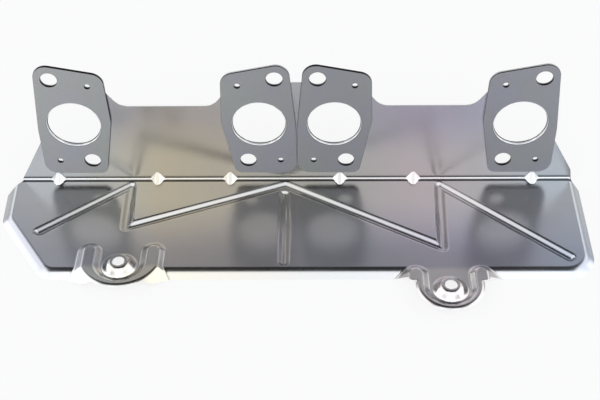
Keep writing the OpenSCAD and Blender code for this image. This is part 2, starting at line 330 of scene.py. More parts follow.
def bandHeight(lobe, x, y):
    # height of the raised band over the lobe's ground, negative away from it
    slope, r = sheetForm["slope"], lobeForm["archRadius"]
    lx, ly = np.abs(x - lobe["at"][0]), y - lobe["at"][1]
    tongue = np.where(ly < lobeForm["pocketY"], np.hypot(lx, ly - lobeForm["pocketY"]), lx)
    arch = r - np.hypot(lx - lobeForm["archX"], ly - lobeForm["archY"])
    above = ly > lobeForm["archY"]
    inner = slope * np.where(above, arch, tongue - lobeForm["tongue"])
    outer = slope * np.where(above, arch, lobeForm["crest"] + wallRun - lx)
    front = slope * (lobe["front"] + wallRun - np.hypot(lx, ly - lobe["frontY"]))
    share = np.clip((lobe["stepY"] - ly) / lobeForm["stepBlend"], 0, 1)
    outer = np.where(share > 0, outer * (1 - share) + np.minimum(outer, front) * share, outer)
    k = lobeForm["soft"]
    return softMin(softMin(inner, outer, k), lobeForm["bandHeight"], k)


def shieldHeight(x, y):
    away, s = lipDistance(x, y), sheetForm["bendHalf"]
    ramp = np.where(away > s, away, np.where(away < -s, 0, (away + s) ** 2 / (4 * s)))
    z = -sheetForm["slope"] * ramp
    for lobe in lobes:
        lx, ly = np.abs(x - lobe["at"][0]), y - lobe["at"][1]
        reach, archY = lobeForm["tongue"] + wallRun, lobeForm["archY"]
        low = np.hypot(lx, ly - lobeForm["pocketY"]) < reach
        ground = np.where(ly < lobeForm["pocketY"], low, lx < reach) & (ly < archY)
        ground = ground | ((lx < lobeForm["archX"]) & (ly >= archY) & (ly < archY + lobeForm["archTop"]))
        z = np.where(ground, 0, z)
    for lobe in lobes:
        z = softMax(z, bandHeight(lobe, x, y), lobeForm["soft"])
        rho = np.hypot(x - lobe["at"][0], y - lobe["at"][1])
        steep = lobeForm["bossHeight"] / (lobeForm["bossFoot"] - lobeForm["bossTop"])
        boss = softMin((lobeForm["bossFoot"] - rho) * steep, lobeForm["bossHeight"], lobeForm["bossSoft"])
        z = softMax(z, boss, lobeForm["bossSoft"])
    for path in (beadForm["zigzag"], beadForm["stem"]):
        d, _ = pathDistance(x, y, path)
        across = np.clip(d / beadForm["halfWidth"], 0, 1)
        z = z - beadForm["depth"] * (1 + np.cos(math.pi * across)) / 2
    return z


def sheetPoint(x, v):
    # front face of the sheet at flat coordinates x and v
    r = sheetForm["foldRadius"]
    a = np.clip(v, 0, foldLength) / r
    y = np.minimum(v, 0) - r + r * np.sin(a)
    z = np.maximum(v - foldLength, 0) + r - r * np.cos(a)
    z = z + np.where(v < 0, shieldHeight(x, np.minimum(y, 0)), 0)
    level = z - y
    raised = level
    tilt = (gussetForm["halfWidth"] - gussetForm["ridge"]) / gussetForm["leg"]
    for gx in gussetForm["x"]:
        rise = np.minimum((gussetForm["halfWidth"] - np.abs(x - gx)) / tilt, gussetForm["leg"])
        raised = softMax(raised, np.maximum(rise, -5), gussetForm["soft"])
    shift = np.where(np.abs(v) < 2 * gussetForm["leg"] + 1, (raised - level) / 2, 0)
    return np.stack([x, y - shift, z + shift], 1)


def sheetNormal(x, v):
    h = 0.03    # small step
    along = sheetPoint(x + h, v) - sheetPoint(x - h, v)
    up = sheetPoint(x, v + h) - sheetPoint(x, v - h)
    n = np.cross(along, up)
    return n / np.linalg.norm(n, axis=1)[:, None]


def uprightCorners(side):
    # one side's tabs, from the fold to the middle, as x, v and radius
    f, t, lift = sheetForm, tabForm, foldLength - sheetForm["foldRadius"]
    outer, inner = portForm["outerPitch"] / 2, portForm["innerPitch"] / 2
    top = f["portHeight"] + plateForm["top"] - t["inset"] - t["topInset"]
    low = f["portHeight"] + plateForm["shoulder"] - t["inset"]
    corners = [
        (outer + t["outerFoot"][0], t["outerFoot"][1], 0),
        (outer + t["outerSide"][0], t["outerSide"][1], t["cornerRadius"]),
        (outer + t["top"], top, t["cornerRadius"]),
        (outer - t["shoulder"], low, t["cornerRadius"]),
        (outer - t["waist"], t["outerWaist"], t["waistRadius"]),
        (outer - t["outerBay"], f["bayHeight"], f["bayRadius"]),
        (inner + t["innerBay"], f["bayHeight"], f["bayRadius"]),
        (inner + t["waist"], t["innerWaist"], t["waistRadius"]),
        (inner + t["shoulder"], low, t["cornerRadius"]),
        (inner - t["top"], top, t["cornerRadius"]),
        (inner - t["saddle"], f["saddleHeight"], t["saddleRadius"]),
    ]
    return [(side * x, z + lift, r) for x, z, r in corners]


def lobeLine(lobe, front):
    # trimmed edge of a lobe, from the front lip and back to it
    (px, py), (qx, qy) = lobe["trim"]
    edge = front - lobe["at"][1]
    tip = lobeForm["crest"] + wallRun + lipRun - lobeForm["tipCut"]
    start = lineCross((-tip, edge + lobeForm["tipCut"]), (-px, py), (-1, edge), (1, edge))
    radius = lobe["front"] + lobeForm["frontTrim"]
    drop = qy - lobe["frontY"]
    a0 = math.atan2(drop, -math.sqrt(radius ** 2 - drop ** 2)) % (2 * math.pi)
    a1 = 3 * math.pi - a0
    count = math.ceil((a1 - a0) * radius / meshForm["lobeArcStep"])
    arc = [(radius * math.cos(a), lobe["frontY"] + radius * math.sin(a))
           for a in np.linspace(a0, a1, count)]
    turnIn = qy - 0.02    # a hair off the arc's end, so that no two points meet
    local = [tuple(start), (-px, py), (-qx, turnIn), *arc, (qx, turnIn), (px, py), (-start[0], start[1])]
    return [(x + lobe["at"][0], y + lobe["at"][1]) for x, y in local]


def sheetLines():
    f, r = sheetForm, sheetForm["foldRadius"]
    lip = grownCorners(shieldCorners, lipRun)
    front = lip[2][1]
    out = [unit(np.subtract(shieldCorners[i + 1][:2], shieldCorners[i][:2])) for i in (0, 3)]
    leftEnd = np.add(shieldCorners[0][:2], [out[0][1] * lipRun, -out[0][0] * lipRun])
    rightEnd = np.add(shieldCorners[4][:2], [out[1][1] * lipRun, -out[1][0] * lipRun])
    dx, dy = f["leftRunOut"]
    leftCut = lineCross((f["foldLeft"], -r), (f["foldLeft"] - dx, -r - dy), leftEnd, lip[1])
    dx, dy = f["rightRunOut"]
    rightCut = lineCross((f["foldRight"], -r), (f["foldRight"] + dx, -r - dy), rightEnd, lip[3])
    inwards, up, stepRadius = f["rightStep"]
    right, left = uprightCorners(1), uprightCorners(-1)
    corners = [(f["foldRight"], 0, 0), (f["foldRight"], foldLength, 0),
               (f["foldRight"] - inwards, foldLength - r + up, stepRadius), *right, *reversed(left),
               (f["foldLeft"], foldLength, 0), (f["foldLeft"], 0, 0)]
    rounds = [(*point, corner[2] + lipRun) for point, corner in zip(lip, shieldCorners)]
    shield = [(*leftCut, 0), rounds[1], rounds[2]]
    for lobe in lobes:
        shield += [(x, y, 0) for x, y in lobeLine(lobe, front)]
    shield += [rounds[3], (*rightCut, 0)]
    corners += [(x, y + r, radius) for x, y, radius in shield]
    lines = [roundedLine(corners, 0.0, meshForm["arcStep"], meshForm["lineStep"])]
    for index in range(4):
        lines += portHoles(index, foldLength - r + f["portHeight"], f["portRadius"], f["holeSteps"])
    for lobe in lobes:
        x, y = lobe["at"]
        lines.append(circleLine(x, y + r, lobeForm["screwRadius"], meshForm["screwSteps"]))
    return lines


def hexGrid(x0, x1, v0, v1, step):
    rows = np.arange(v0, v1, step * 0.866)    # height of an even triangle with side 1
    cols = np.arange(x0, x1, step)
    return np.array([(x + (step / 2 if i % 2 else 0), v) for i, v in enumerate(rows) for x in cols])


def beadPoints(path):
    # rows along each straight run of a bead, and rings round its corners and ends
    half = beadForm["rows"]
    rows = np.arange(-half, half + 1) * beadForm["rowStep"]
    found = []
    for i in range(len(path) - 1):
        a, b = np.array(path[i]), np.array(path[i + 1])
        u = unit(b - a)
        side = np.array([-u[1], u[0]])
        length = np.linalg.norm(b - a)
        steps = np.linspace(0, length, math.ceil(length / beadForm["runStep"]) + 1)
        grid = np.array([a + u * t + side * s for t in steps for s in rows])
        _, nearest = pathDistance(grid[:, 0], grid[:, 1], path)
        found.append(grid[nearest == i])
    for i, p in enumerate(path):
        ring = np.array([(p[0] + s * math.cos(a), p[1] + s * math.sin(a))
                         for s in rows[half + 1:] for a in np.arange(24) * math.pi / 12])
        d, _ = pathDistance(ring[:, 0], ring[:, 1], path)
        own = np.hypot(ring[:, 0] - p[0], ring[:, 1] - p[1])
        found.append(ring[own < d + 1e-6])
    return np.vstack(found)


def gussetPoints(gx):
    # points across a gusset, level by level, and a few round its two tips
    r, f = sheetForm["foldRadius"], gussetForm
    tilt = (f["halfWidth"] - f["ridge"]) / f["leg"]
    tip = f["leg"] - r
    found = []
    for v in [*np.linspace(-tip, 0, 13), *np.linspace(0, foldLength, 6)[1:-1],
              *np.linspace(foldLength, foldLength + tip, 13)]:
        a = min(max(v, 0), foldLength) / r
        level = 2 * r - r * (math.sin(a) + math.cos(a)) - min(v, 0) + max(v - foldLength, 0)
        half = f["halfWidth"] - tilt * level
        steps = [0, f["ridge"] / 2, f["ridge"]]
        if half > f["ridge"] + 0.3:
            steps += [f["ridge"] + (half - f["ridge"]) * k for k in (0.25, 0.5, 0.75, 1)]
        steps += [half + 0.35, half + 0.8, half + 1.5]
        found += [(gx + s * w, v) for w in steps for s in ((1, -1) if w else (1,))]
    for extra in (0.35, 0.8, 1.4):
        found += [(gx + w, v) for w in (-1.6, -0.8, -0.4, 0, 0.4, 0.8, 1.6)
                  for v in (-tip - extra, foldLength + tip + extra)]
    return np.array(found)


def sheetPoints(lines):
    # flat points for the triangulation: edges first, then rows that follow each form, then a wide grid
    m, r = meshForm, sheetForm["foldRadius"]
    kept = [np.vstack(lines)]
    guard = [np.vstack([np.array(between(a, b, m["guardStep"])).reshape(-1, 2) for line in lines
                        for a, b in zip(line, np.roll(line, -1, 0))])]

    def add(points, name):
        points = points[insideLines(points, lines)]
        taken = np.vstack(kept + guard)
        tree = kdtree.KDTree(len(taken))
        for i, p in enumerate(taken):
            tree.insert((p[0], p[1], 0), i)
        tree.balance()
        free = [tree.find((p[0], p[1], 0))[2] > m["gaps"][name] for p in points]
        kept.append(points[np.array(free, bool)])

    for lobe in lobes:
        radii = np.arange(lobeForm["screwRadius"] + m["ringStep"], lobeForm["bossFoot"] + 1, m["ringStep"])
        x, y = lobe["at"]
        add(np.vstack([circleLine(x, y + r, s, m["screwSteps"]) for s in radii]), "ring")
    for gx in gussetForm["x"]:
        add(gussetPoints(gx), "gusset")
    shift = np.array([0, r])
    for path in (beadForm["zigzag"], beadForm["stem"]):
        add(beadPoints(path) + shift, "bead")
    for lobe in lobes:
        x, y = lobe["at"]
        add(hexGrid(x - m["patchSide"], x + m["patchSide"], y - m["patchFront"] + r, y + m["patchBack"] + r,
                    m["patchStep"]), "patch")
    rows = [roundedLine(shieldCorners, grow, m["arcStep"], m["lineStep"], False) for grow in m["lipRows"]]
    add(np.vstack(rows) + shift, "lip")
    folds = [-1.0, -0.4, *np.linspace(0, foldLength, 7), foldLength + 0.4, foldLength + 1.0]
    columns = np.arange(sheetForm["foldLeft"] + 1.2, sheetForm["foldRight"] - 1, m["foldStep"])
    add(np.array([(x, v) for x in columns for v in folds]), "fold")
    add(hexGrid(*m["gridArea"], m["gridStep"]), "grid")
    return np.vstack(kept)


def triangulate(points, lines):
    # triangles of the flat points that lie inside the lines, against the clock
    loops, start = [], 0
    for line in lines:
        loops += [(start + i, start + (i + 1) % len(line)) for i in range(len(line))]
        start += len(line)
    made = geometry.delaunay_2d_cdt([Vector(p) for p in points], loops, [], 0, 1e-7)
    where = {old: new for new, olds in enumerate(made[3]) for old in olds}
    flat = np.array([tuple(p) for p in made[0]])
    faces = np.array([f for f in made[2] if len(f) == 3])
    a, b, c = flat[faces[:, 0]], flat[faces[:, 1]], flat[faces[:, 2]]
    area = (b[:, 0] - a[:, 0]) * (c[:, 1] - a[:, 1]) - (b[:, 1] - a[:, 1]) * (c[:, 0] - a[:, 0])
    faces[area < 0] = faces[area < 0][:, ::-1]
    # slivers between points of one straight edge are left out
    longest = np.max([np.linalg.norm(p - q, axis=1) for p, q in ((a, b), (b, c), (c, a))], axis=0)
    faces = faces[insideLines((a + b + c) / 3, lines) & (np.abs(area) > 1e-4 * longest)]
    return flat, faces, [[where[i] for i in pair] for pair in loops]


def plainMesh(name, vertices, faces, slots, normals, materials):
    mesh = bpy.data.meshes.new(name)
    mesh.from_pydata([tuple(p) for p in toFrame(vertices)], [], [tuple(int(i) for i in f) for f in faces])
    for m in materials:
        mesh.materials.append(m)
    mesh.polygons.foreach_set("material_index", slots)
    mesh.polygons.foreach_set("use_smooth", [True] * len(mesh.polygons))
    mesh.update()
    if normals is not None:
        mesh.normals_split_custom_set(normals)
    thing = bpy.data.objects.new(name, mesh)
    bpy.context.scene.collection.objects.link(thing)
    return thing


def makeSheet(materials):
    lines = sheetLines()
    flat, tops, loops = triangulate(sheetPoints(lines), lines)
    front = sheetPoint(flat[:, 0], flat[:, 1])
    normal = sheetNormal(flat[:, 0], flat[:, 1])
    back = front - normal * sheetForm["thickness"]
    shield = flat[:, 1] < 0
    back[shield, 2] = np.maximum(back[shield, 2], -sheetForm["lipDrop"])    # lip is cut level
    used = np.zeros(len(flat), bool)
    used[tops.ravel()] = True
    number = np.cumsum(used) - 1
    total = int(used.sum())
    tops = number[tops]
    loops = [(number[a], number[b]) for a, b in loops]
    vertices = np.vstack([front[used], back[used]])
    normal = normal[used]
    # cut edges face away from the sheet, halfway between their neighbours
    outward = np.zeros((total, 3))
    for a, b in loops:
        along = vertices[b] - vertices[a]
        side = np.cross(along, normal[a] + normal[b])
        side = side / max(np.linalg.norm(side), 1e-9)
        outward[a] += side
        outward[b] += side
    outward /= np.maximum(np.linalg.norm(outward, axis=1), 1e-9)[:, None]
    walls = [(b, a, a + total, b + total) for a, b in loops]
    faces = [*map(tuple, tops), *[(a + total, c + total, b + total) for a, b, c in tops], *walls]
    slots = [0] * (2 * len(tops)) + [1] * len(walls)
    normals = [normal[i] for f in tops for i in f]
    normals += [-normal[i] for a, b, c in tops for i in (a, c, b)]
    normals += [outward[i] for a, b in loops for i in (b, a, a, b)]
    print("sheet has", 2 * len(tops) + 2 * len(walls), "triangles")
    return plainMesh("folded_sheet_form", vertices, faces, slots, normals, materials)


# Port plates

plateForm = {
    "thickness": 1.8,
    "top": 44.2,             # heights over and under the port's centre
    "shoulder": 36.0,
    "foot": 38.2,
    "portRadius": 16.3,
    "edge": 0.13,            # width of the broken edge round faces and holes
    "holeSteps": 56,
    "arcStep": 0.8,          # of the mesh round corners and along straight edges
    "lineStep": 3.0,
}
# outline as x, z and radius
plateCorners = [(-17.9, plateForm["top"], 8), (-21.9, -4, 15), (-22.1, -plateForm["foot"], 8),
                (15.3, -plateForm["foot"], 5), (22.3, 2, 15), (21.2, plateForm["shoulder"], 8)]


def makePlate(index, materials):
    f, side, x0 = plateForm, portSide[index], portX[index]

    def loopsAt(grow):
        outline = roundedLine(plateCorners, grow, f["arcStep"], f["lineStep"])
        loops = [outline * [side, 1] + [x0, 0]]
        loops += portHoles(index, 0, f["portRadius"], f["holeSteps"], grow)
        # outline against the clock, holes with it
        return [loop if (signedArea(loop) > 0) == (i == 0) else loop[::-1] for i, loop in enumerate(loops)]

    full, inset = loopsAt(0), loopsAt(-f["edge"])
    flat, faces, _ = triangulate(np.vstack(inset), inset)
    depth, edge = f["thickness"], f["edge"]
    layers = [(inset, -depth), (full, edge - depth), (full, -edge), (inset, 0.0)]
    vertices, starts = [], []
    for loops, y in layers:
        starts.append(sum(len(v) for v in vertices))
        ring = np.vstack(loops)
        height = ring[:, 1] + sheetForm["portHeight"]
        vertices.append(np.stack([ring[:, 0], np.full(len(ring), y), height], 1))
    caps = [tuple(face) for face in faces]
    caps += [(a + starts[3], c + starts[3], b + starts[3]) for a, b, c in faces]
    sides, begin = [], 0
    for loop in inset:
        n = len(loop)
        for i in range(n):
            a, b = begin + i, begin + (i + 1) % n
            for upper, lower in zip(starts, starts[1:]):
                sides.append((upper + b, upper + a, lower + a, lower + b))
        begin += n
    rim = (len(layers) - 1) * len(inset[0])
    slots = [0] * len(caps) + [1] * rim + [2] * (len(sides) - rim)    # face, outer edge, holes
    name = f"port_plate_{index + 1}"
    plate = plainMesh(name, np.vstack(vertices), caps + sides, slots, None, materials)
    plate.data.polygons.foreach_set("use_smooth", [False] * len(caps) + [True] * len(sides))
    return plate


def signedArea(loop):
    x, y = loop[:, 0], loop[:, 1]
    return float(np.sum(x * np.roll(y, -1) - y * np.roll(x, -1))) / 2


# Port rings, one tree for all four

ringForm = {
    "outerRadius": plateForm["portRadius"],
    "wall": 0.4,
    "depth": plateForm["thickness"],
    "corner": 0.1,
    "segments": 128,
    "sharpFrom": 35,         # angle past which an edge looks sharp
}


def makeRings(material):
    f = ringForm
    tree = bpy.data.node_groups.new("portRingTree", "GeometryNodeTree")
    tree.interface.new_socket("Geometry", in_out="OUTPUT", socket_type="NodeSocketGeometry")
    values = {
        "Outer pitch": portForm["outerPitch"] * mm, "Inner pitch": portForm["innerPitch"] * mm,
        "Middle radius": (f["outerRadius"] - f["wall"] / 2) * mm, "Wall": f["wall"] * mm,
        "Depth": f["depth"] * mm, "Corner": f["corner"] * mm,
        "Setback": -(f["depth"] / 2 + sheetForm["thickness"]) * mm,
    }
    for name in values:
        tree.interface.new_socket(name, in_out="INPUT", socket_type="NodeSocketFloat")
    make, link = tree.nodes.new, tree.links.new
    given = make("NodeGroupInput").outputs

    def result(operation, *values):
        return mathNode(tree.nodes, tree.links, operation, *values)

    path = make("GeometryNodeCurvePrimitiveCircle")
    path.inputs["Resolution"].default_value = f["segments"]
    link(given["Middle radius"], path.inputs["Radius"])
    profile = make("GeometryNodeCurvePrimitiveQuadrilateral")
    link(given["Wall"], profile.inputs["Width"])
    link(given["Depth"], profile.inputs["Height"])
    fillet = make("GeometryNodeFilletCurve")
    fillet.mode = "POLY"
    fillet.inputs["Limit Radius"].default_value = True
    link(profile.outputs["Curve"], fillet.inputs["Curve"])
    link(given["Corner"], fillet.inputs["Radius"])
    sweep = make("GeometryNodeCurveToMesh")
    link(path.outputs["Curve"], sweep.inputs["Curve"])
    link(fillet.outputs["Curve"], sweep.inputs["Profile Curve"])
    points = make("GeometryNodePoints")
    points.inputs["Count"].default_value = 4
    index = make("GeometryNodeInputIndex").outputs[0]
    offset = result("SUBTRACT", index, 1.5)
    far = result("GREATER_THAN", result("ABSOLUTE", offset), 1.0)
    near = result("SUBTRACT", 1.0, far)
    pitch = result("ADD", result("MULTIPLY", far, given["Outer pitch"]),
                   result("MULTIPLY", near, given["Inner pitch"]))
    place = make("ShaderNodeCombineXYZ")
    link(result("MULTIPLY", result("SIGN", offset), result("MULTIPLY", pitch, 0.5)), place.inputs["X"])
    link(given["Setback"], place.inputs["Y"])
    link(place.outputs[0], points.inputs["Position"])
    instances = make("GeometryNodeInstanceOnPoints")
    instances.inputs["Rotation"].default_value = (math.pi / 2, 0, 0)
    link(points.outputs[0], instances.inputs["Points"])
    link(sweep.outputs["Mesh"], instances.inputs["Instance"])
    realize = make("GeometryNodeRealizeInstances")
    link(instances.outputs[0], realize.inputs[0])
    paint = make("GeometryNodeSetMaterial")
    paint.inputs["Material"].default_value = material
    link(realize.outputs[0], paint.inputs["Geometry"])
    link(paint.outputs[0], make("NodeGroupOutput").inputs[0])

    carrier = bpy.data.objects.new("ringCarrier", bpy.data.meshes.new("ringCarrier"))
    bpy.context.scene.collection.objects.link(carrier)
    modifier = carrier.modifiers.new("rings", "NODES")
    modifier.node_group = tree
    for item in tree.interface.items_tree:
        if item.name in values:
            modifier[item.identifier] = values[item.name]
    evaluated = carrier.evaluated_get(bpy.context.evaluated_depsgraph_get())
    mesh = bpy.data.meshes.new_from_object(evaluated)
    carrier.modifiers.remove(modifier)
    bpy.data.objects.remove(carrier)
    mesh.name = "port_rings"
    rings = bpy.data.objects.new("port_rings", mesh)
    bpy.context.scene.collection.objects.link(rings)
    mesh.polygons.foreach_set("use_smooth", [True] * len(mesh.polygons))
    mesh.set_sharp_from_angle(angle=math.radians(f["sharpFrom"]))
    return rings


# Finishes

def newMaterial(name, roughness, metallic):
    material = bpy.data.materials.new(name)
    material.use_nodes = True
    shader = material.node_tree.nodes["Principled BSDF"]
    shader.inputs["Roughness"].default_value = roughness
    shader.inputs["Metallic"].default_value = metallic
    return material, material.node_tree.nodes, material.node_tree.links, shader


def mathNode(nodes, links, operation, *values):
    node = nodes.new("ShaderNodeMath")
    node.operation = operation
    for socket, value in zip(node.inputs, values):
        if isinstance(value, bpy.types.NodeSocket):
            links.new(value, socket)
        else:
            socket.default_value = value
    return node.outputs[0]


def objectPlace(nodes, links):
    # x, y and z on the piece, in metres
    coords = nodes.new("ShaderNodeTexCoord")
    parts = nodes.new("ShaderNodeSeparateXYZ")
    links.new(coords.outputs["Object"], parts.inputs[0])
    return parts.outputs["X"], parts.outputs["Y"], parts.outputs["Z"]


def objectNoise(nodes, links, scale, detail, stretch=(1, 1, 1)):
    coords = nodes.new("ShaderNodeTexCoord")
    mapping = nodes.new("ShaderNodeMapping")
    mapping.inputs["Scale"].default_value = stretch
    links.new(coords.outputs["Object"], mapping.inputs["Vector"])
    noise = nodes.new("ShaderNodeTexNoise")
    noise.inputs["Scale"].default_value = scale
    noise.inputs["Detail"].default_value = detail
    links.new(mapping.outputs[0], noise.inputs["Vector"])
    return noise.outputs["Fac"]


def colourRamp(nodes, links, factor, stops):
    ramp = nodes.new("ShaderNodeValToRGB")
    while len(ramp.color_ramp.elements) < len(stops):
        ramp.color_ramp.elements.new(0.5)
    for element, (place, colour) in zip(ramp.color_ramp.elements, stops):
        element.position = place
        element.color = (*colour, 1)
    links.new(factor, ramp.inputs["Fac"])
    return ramp.outputs["Color"]


def lengthRamp(nodes, links, length, stops):
    # colours by a length in metres
    first, last = stops[0][0], stops[-1][0]
    span = nodes.new("ShaderNodeMapRange")
    span.inputs["From Min"].default_value = first
    span.inputs["From Max"].default_value = last
    links.new(length, span.inputs["Value"])
    return colourRamp(nodes, links, span.outputs[0], [((d - first) / (last - first), c) for d, c in stops])


def scaledTo(nodes, links, value, low, high):
    spread = nodes.new("ShaderNodeMapRange")
    spread.inputs["To Min"].default_value = low
    spread.inputs["To Max"].default_value = high
    links.new(value, spread.inputs["Value"])
    return spread.outputs["Result"]


def mixedColour(nodes, links, factor, a, b, blend="MIX"):
    mix = nodes.new("ShaderNodeMix")
    mix.data_type = "RGBA"
    mix.blend_type = blend
    for socket, value in ((mix.inputs["Factor"], factor), (mix.inputs["A"], a), (mix.inputs["B"], b)):
        if isinstance(value, bpy.types.NodeSocket):
            links.new(value, socket)
        else:
            socket.default_value = value if isinstance(value, float) else (*value, 1)
    return mix.outputs["Result"]


def bumped(nodes, links, shader, height, distance, strength=1.0):
    bump = nodes.new("ShaderNodeBump")
    bump.inputs["Distance"].default_value = distance
    bump.inputs["Strength"].default_value = strength
    links.new(height, bump.inputs["Height"])
    links.new(bump.outputs[0], shader.inputs["Normal"])


steelLook = {
    "roughness": (0.19, 0.26),
    # painted reflection: colours along the sheet that stand in for the tints it reflects, from x in metres
    "paintedReflectionTints": [(-0.176, (0.47, 0.485, 0.505)), (-0.135, (0.465, 0.465, 0.455)), (-0.085, (0.485, 0.46, 0.4)),
              (-0.035, (0.47, 0.45, 0.41)), (0.02, (0.445, 0.445, 0.435)), (0.075, (0.485, 0.455, 0.46)),
              (0.12, (0.47, 0.46, 0.465)), (0.165, (0.46, 0.485, 0.505))],
    # painted reflection and highlight: how the tint changes with the distance from the fold, in metres,
    # bluish in a band and brighter on the lip and the upright's top
    "reach": [(0.02, (1, 1, 1)), (0.062, (0.86, 0.87, 0.97)), (0.075, (0.86, 0.87, 0.97)),
              (0.0785, (1.16, 1.16, 1.16))],
    # painted shade: a dark line along the foot of the fold, by the distance from the upright's rear face
    "paintedCreaseShade": [(0.0012, 1.0), (0.0017, 0.12), (0.0028, 0.12), (0.0033, 1.0)],
    "creaseHeight": 0.0005,  # the line ends at this height over the shield
    "wander": 0.05,          # how far the tints stray from their place
    "wanderScale": 14,
    "hazeScale": 60,
    "rolledScale": 900,
    "rolledDepth": 0.000003,
}


def sheetSteel():
    material, nodes, links, shader = newMaterial("rolled_steel", 0.2, 1.0)
    x, y, z = objectPlace(nodes, links)
    # painted reflection: the base colour changes along x to copy the tints that the sheet reflects
    stray = mathNode(nodes, links, "MULTIPLY_ADD", objectNoise(nodes, links, steelLook["wanderScale"], 2),
                     2 * steelLook["wander"], -steelLook["wander"])
    tint = lengthRamp(nodes, links, mathNode(nodes, links, "ADD", x, stray), steelLook["paintedReflectionTints"])
    rise = mathNode(nodes, links, "ADD", z, sheetForm["portHeight"] * mm)
    outwards = mathNode(nodes, links, "MULTIPLY", y, -1)
    reach = mathNode(nodes, links, "MAXIMUM", rise, outwards)
    # painted reflection and highlight by the distance from the fold
    away = lengthRamp(nodes, links, reach, steelLook["reach"])
    # painted shade along the foot of the fold, where the crease lies in shadow; it ends at creaseHeight over
    # the shield
    paintedCreaseShade = lengthRamp(nodes, links, outwards, [(d, (c, c, c)) for d, c in steelLook["paintedCreaseShade"]])
    level = mathNode(nodes, links, "LESS_THAN", rise, steelLook["creaseHeight"])
    shade = mixedColour(nodes, links, level, (1, 1, 1), paintedCreaseShade)
    base = mixedColour(nodes, links, 1.0, tint, away, "MULTIPLY")
    links.new(mixedColour(nodes, links, 1.0, base, shade, "MULTIPLY"), shader.inputs["Base Color"])
    haze = objectNoise(nodes, links, steelLook["hazeScale"], 3)
    links.new(scaledTo(nodes, links, haze, *steelLook["roughness"]), shader.inputs["Roughness"])
    rolled = objectNoise(nodes, links, steelLook["rolledScale"], 2, (0.05, 1, 1))
    bumped(nodes, links, shader, rolled, steelLook["rolledDepth"])
    return material


def brightSteel(name, roughness, scale, stretch, colours):
    # bare steel with small marks between two colours
    material, nodes, links, shader = newMaterial(name, roughness, 1.0)
    marks = objectNoise(nodes, links, scale, 2, stretch)
    links.new(colourRamp(nodes, links, marks, list(zip((0.35, 0.65), colours))), shader.inputs["Base Color"])
    return material


plateLook = {
    # greenish, grey and bluish patches
    "patches": [(0.36, (0.204, 0.216, 0.212)), (0.5, (0.204, 0.209, 0.222)), (0.64, (0.204, 0.209, 0.236))],
    # painted light: how the colour changes along the row of plates, lighter to the left and darker to the
    # right, from x in metres
    "across": [(-0.15, (1.2, 1.2, 1.16)), (-0.04, (1.0, 1.0, 1.0)), (0.02, (0.86, 0.86, 0.86)),
               (0.15, (0.9, 0.9, 0.94))],
    "roughness": (0.42, 0.55),
    "patchScale": 28,
    "grainScale": 1400,
    "grain": [(0.3, (0.9, 0.9, 0.9)), (0.7, (1, 1, 1))],
    "grainDepth": 0.00001,
    "streakScale": 500,      # on the cut edges
    "streakDepth": 0.00003,
    # painted shade and light on cut edges, from the front face at 0 to the rear face at 1: a shaded copy,
    # and a lit copy that turns pale towards the rear
    "shadedCutBands": [(0.0, (0.01, 0.01, 0.011)), (0.88, (0.012, 0.012, 0.013)), (0.95, (0.05, 0.05, 0.052)),
                (1.0, (0.12, 0.12, 0.125))],
    "litCutBands": [(0.0, (0.015, 0.015, 0.016)), (0.3, (0.02, 0.02, 0.022)), (0.46, (0.42, 0.43, 0.44)),
                (1.0, (0.75, 0.76, 0.77))],
}


def plateFace():
    material, nodes, links, shader = newMaterial("plate_face", 0.5, 0.0)
    patches = objectNoise(nodes, links, plateLook["patchScale"], 2)
    tint = colourRamp(nodes, links, patches, plateLook["patches"])
    fine = objectNoise(nodes, links, plateLook["grainScale"], 2)
    grain = colourRamp(nodes, links, fine, plateLook["grain"])
    x, _, _ = objectPlace(nodes, links)
    # painted light: the plates darken from left to right
    base = mixedColour(nodes, links, 1.0, tint, lengthRamp(nodes, links, x, plateLook["across"]), "MULTIPLY")
    links.new(mixedColour(nodes, links, 1.0, base, grain, "MULTIPLY"), shader.inputs["Base Color"])
    links.new(scaledTo(nodes, links, patches, *plateLook["roughness"]), shader.inputs["Roughness"])
    bumped(nodes, links, shader, fine, plateLook["grainDepth"], 0.5)
    return material


def plateEdge(name, stops):
    # cut edge of a plate, with bands of painted light and shade by depth from the plate's front
    material, nodes, links, shader = newMaterial(name, 0.38, 0.7)
    shader.inputs["Specular IOR Level"].default_value = 0.2
    _, y, _ = objectPlace(nodes, links)
    front = -(plateForm["thickness"] + sheetForm["thickness"]) * mm
    depth = nodes.new("ShaderNodeMapRange")
    depth.inputs["From Min"].default_value = front
    depth.inputs["From Max"].default_value = front + plateForm["thickness"] * mm
    links.new(y, depth.inputs["Value"])
    links.new(colourRamp(nodes, links, depth.outputs[0], stops), shader.inputs["Base Color"])
    streaks = objectNoise(nodes, links, plateLook["streakScale"], 2, (1, 0.1, 1))
    bumped(nodes, links, shader, streaks, plateLook["streakDepth"])
    return material


# Camera, floor and light

cameraPlace = {
    "at": (0.01168, -0.52111, 0.42776),
    "right": (0.9999, 0.0097, -0.0124),
    "forward": (-0.0155, 0.7309, -0.6823),
    "lens": 68.175,
    "shift": (0.0018, -0.0095),
}


def makeCamera():
    forward = Vector(cameraPlace["forward"]).normalized()
    right = Vector(cameraPlace["right"])
    right = (right - forward * right.dot(forward)).normalized()
    up = right.cross(forward)
    camera = bpy.data.objects.new("camera", bpy.data.cameras.new("camera"))
    turn = Matrix((right, up, -forward)).transposed().to_4x4()
    camera.matrix_world = Matrix.Translation(cameraPlace["at"]) @ turn
    camera.data.lens = cameraPlace["lens"]
    camera.data.sensor_width = 36
    camera.data.shift_x, camera.data.shift_y = cameraPlace["shift"]
    camera.data.clip_start = 0.01
    bpy.context.scene.collection.objects.link(camera)
    bpy.context.scene.camera = camera


